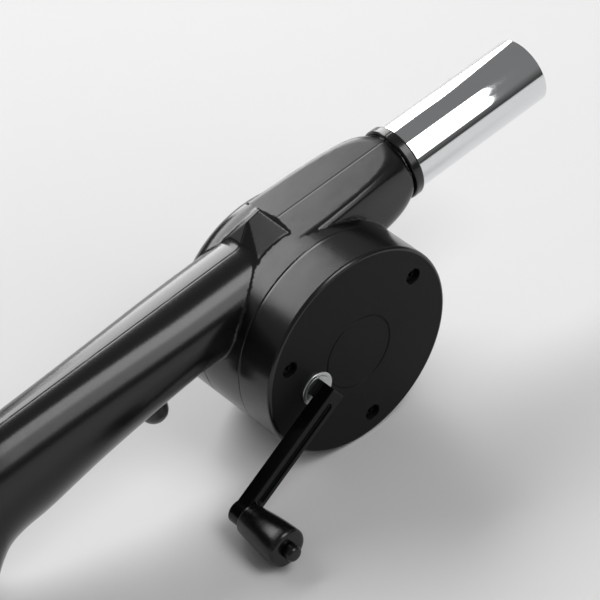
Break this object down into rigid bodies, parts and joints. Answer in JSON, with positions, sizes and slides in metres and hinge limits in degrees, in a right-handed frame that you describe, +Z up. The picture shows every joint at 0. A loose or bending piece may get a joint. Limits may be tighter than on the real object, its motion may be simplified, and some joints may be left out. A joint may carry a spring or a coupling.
{
  "type": "hand crank fan",
  "caption": "Hand crank air blower with a pistol handle, a round gear and impeller housing, a cranked arm with a turning knob and a straight metal outlet tube.",
  "frame": {"origin": "centre of the drum's flat back face, on the fan's axis", "axes": "+X along the outlet tube, the way the air leaves; +Z up through the handle's top; +Y out of the flat back, so the crank is on the -Y side"},
  "size_m": [0.2673, 0.0863, 0.088],
  "materials": {
    "shell_plastic": "moulded ABS, fine satin grain",
    "cover_plastic": "moulded ABS, spark-eroded matt face",
    "crank_plastic": "moulded nylon, semi-gloss",
    "knob_plastic": "moulded polypropylene, semi-gloss",
    "impeller_plastic": "moulded polypropylene",
    "gear_nylon": "moulded nylon, natural",
    "tube_chrome": "drawn steel tube, bright chrome plate",
    "bush_plate": "turned steel, bright zinc plate",
    "shaft_steel": "ground steel",
    "bush_bronze": "sintered bronze",
    "screw_steel": "black oxide steel"
  },
  "bodies": {
    "housing": {"left_shell": "shell_plastic", "right_shell": "shell_plastic", "gear_cover": "cover_plastic", "crank_bush": "bush_plate", "idler_pin": "shaft_steel", "idler_washer": "bush_bronze", "front_bush": "bush_bronze", "back_bush": "bush_bronze", "outlet_tube": "tube_chrome", "cover_screws": "screw_steel", "shell_screws": "screw_steel"},
    "crank": {"crank_sleeve": "bush_plate", "crank_washer": "bush_bronze", "crank_gear": "gear_nylon", "crank_arm": "crank_plastic", "knob_pin": "knob_plastic"},
    "knob": {"crank_knob": "knob_plastic"},
    "idler": {"idler_gear": "gear_nylon"},
    "fan": {"fan_pinion": "gear_nylon", "fan_shaft": "shaft_steel", "impeller": "impeller_plastic", "impeller_clip": "shaft_steel"}
  },
  "joints": [
    {"name": "crank_turn", "type": "hinge", "parent": "housing", "child": "crank", "pos_m": [-0.01945, -0.0534, -0.00206], "axis": [0, -1, 0], "continuous": true},
    {"name": "knob_turn", "type": "hinge", "parent": "crank", "child": "knob", "pos_m": [-0.06214, -0.072, -0.02485], "axis": [0, -1, 0], "continuous": true},
    {"name": "idler_turn", "type": "hinge", "parent": "housing", "child": "idler", "pos_m": [-0.00981, -0.042, 0.01397], "axis": [0, -1, 0], "continuous": true},
    {"name": "fan_turn", "type": "hinge", "parent": "housing", "child": "fan", "pos_m": [0, -0.03, 0], "axis": [0, -1, 0], "continuous": true}
  ],
  "couplings": [
    {"joint": "idler_turn", "follows": "crank_turn", "ratio": -2.8333},
    {"joint": "fan_turn", "follows": "crank_turn", "ratio": 8.5}
  ]
}
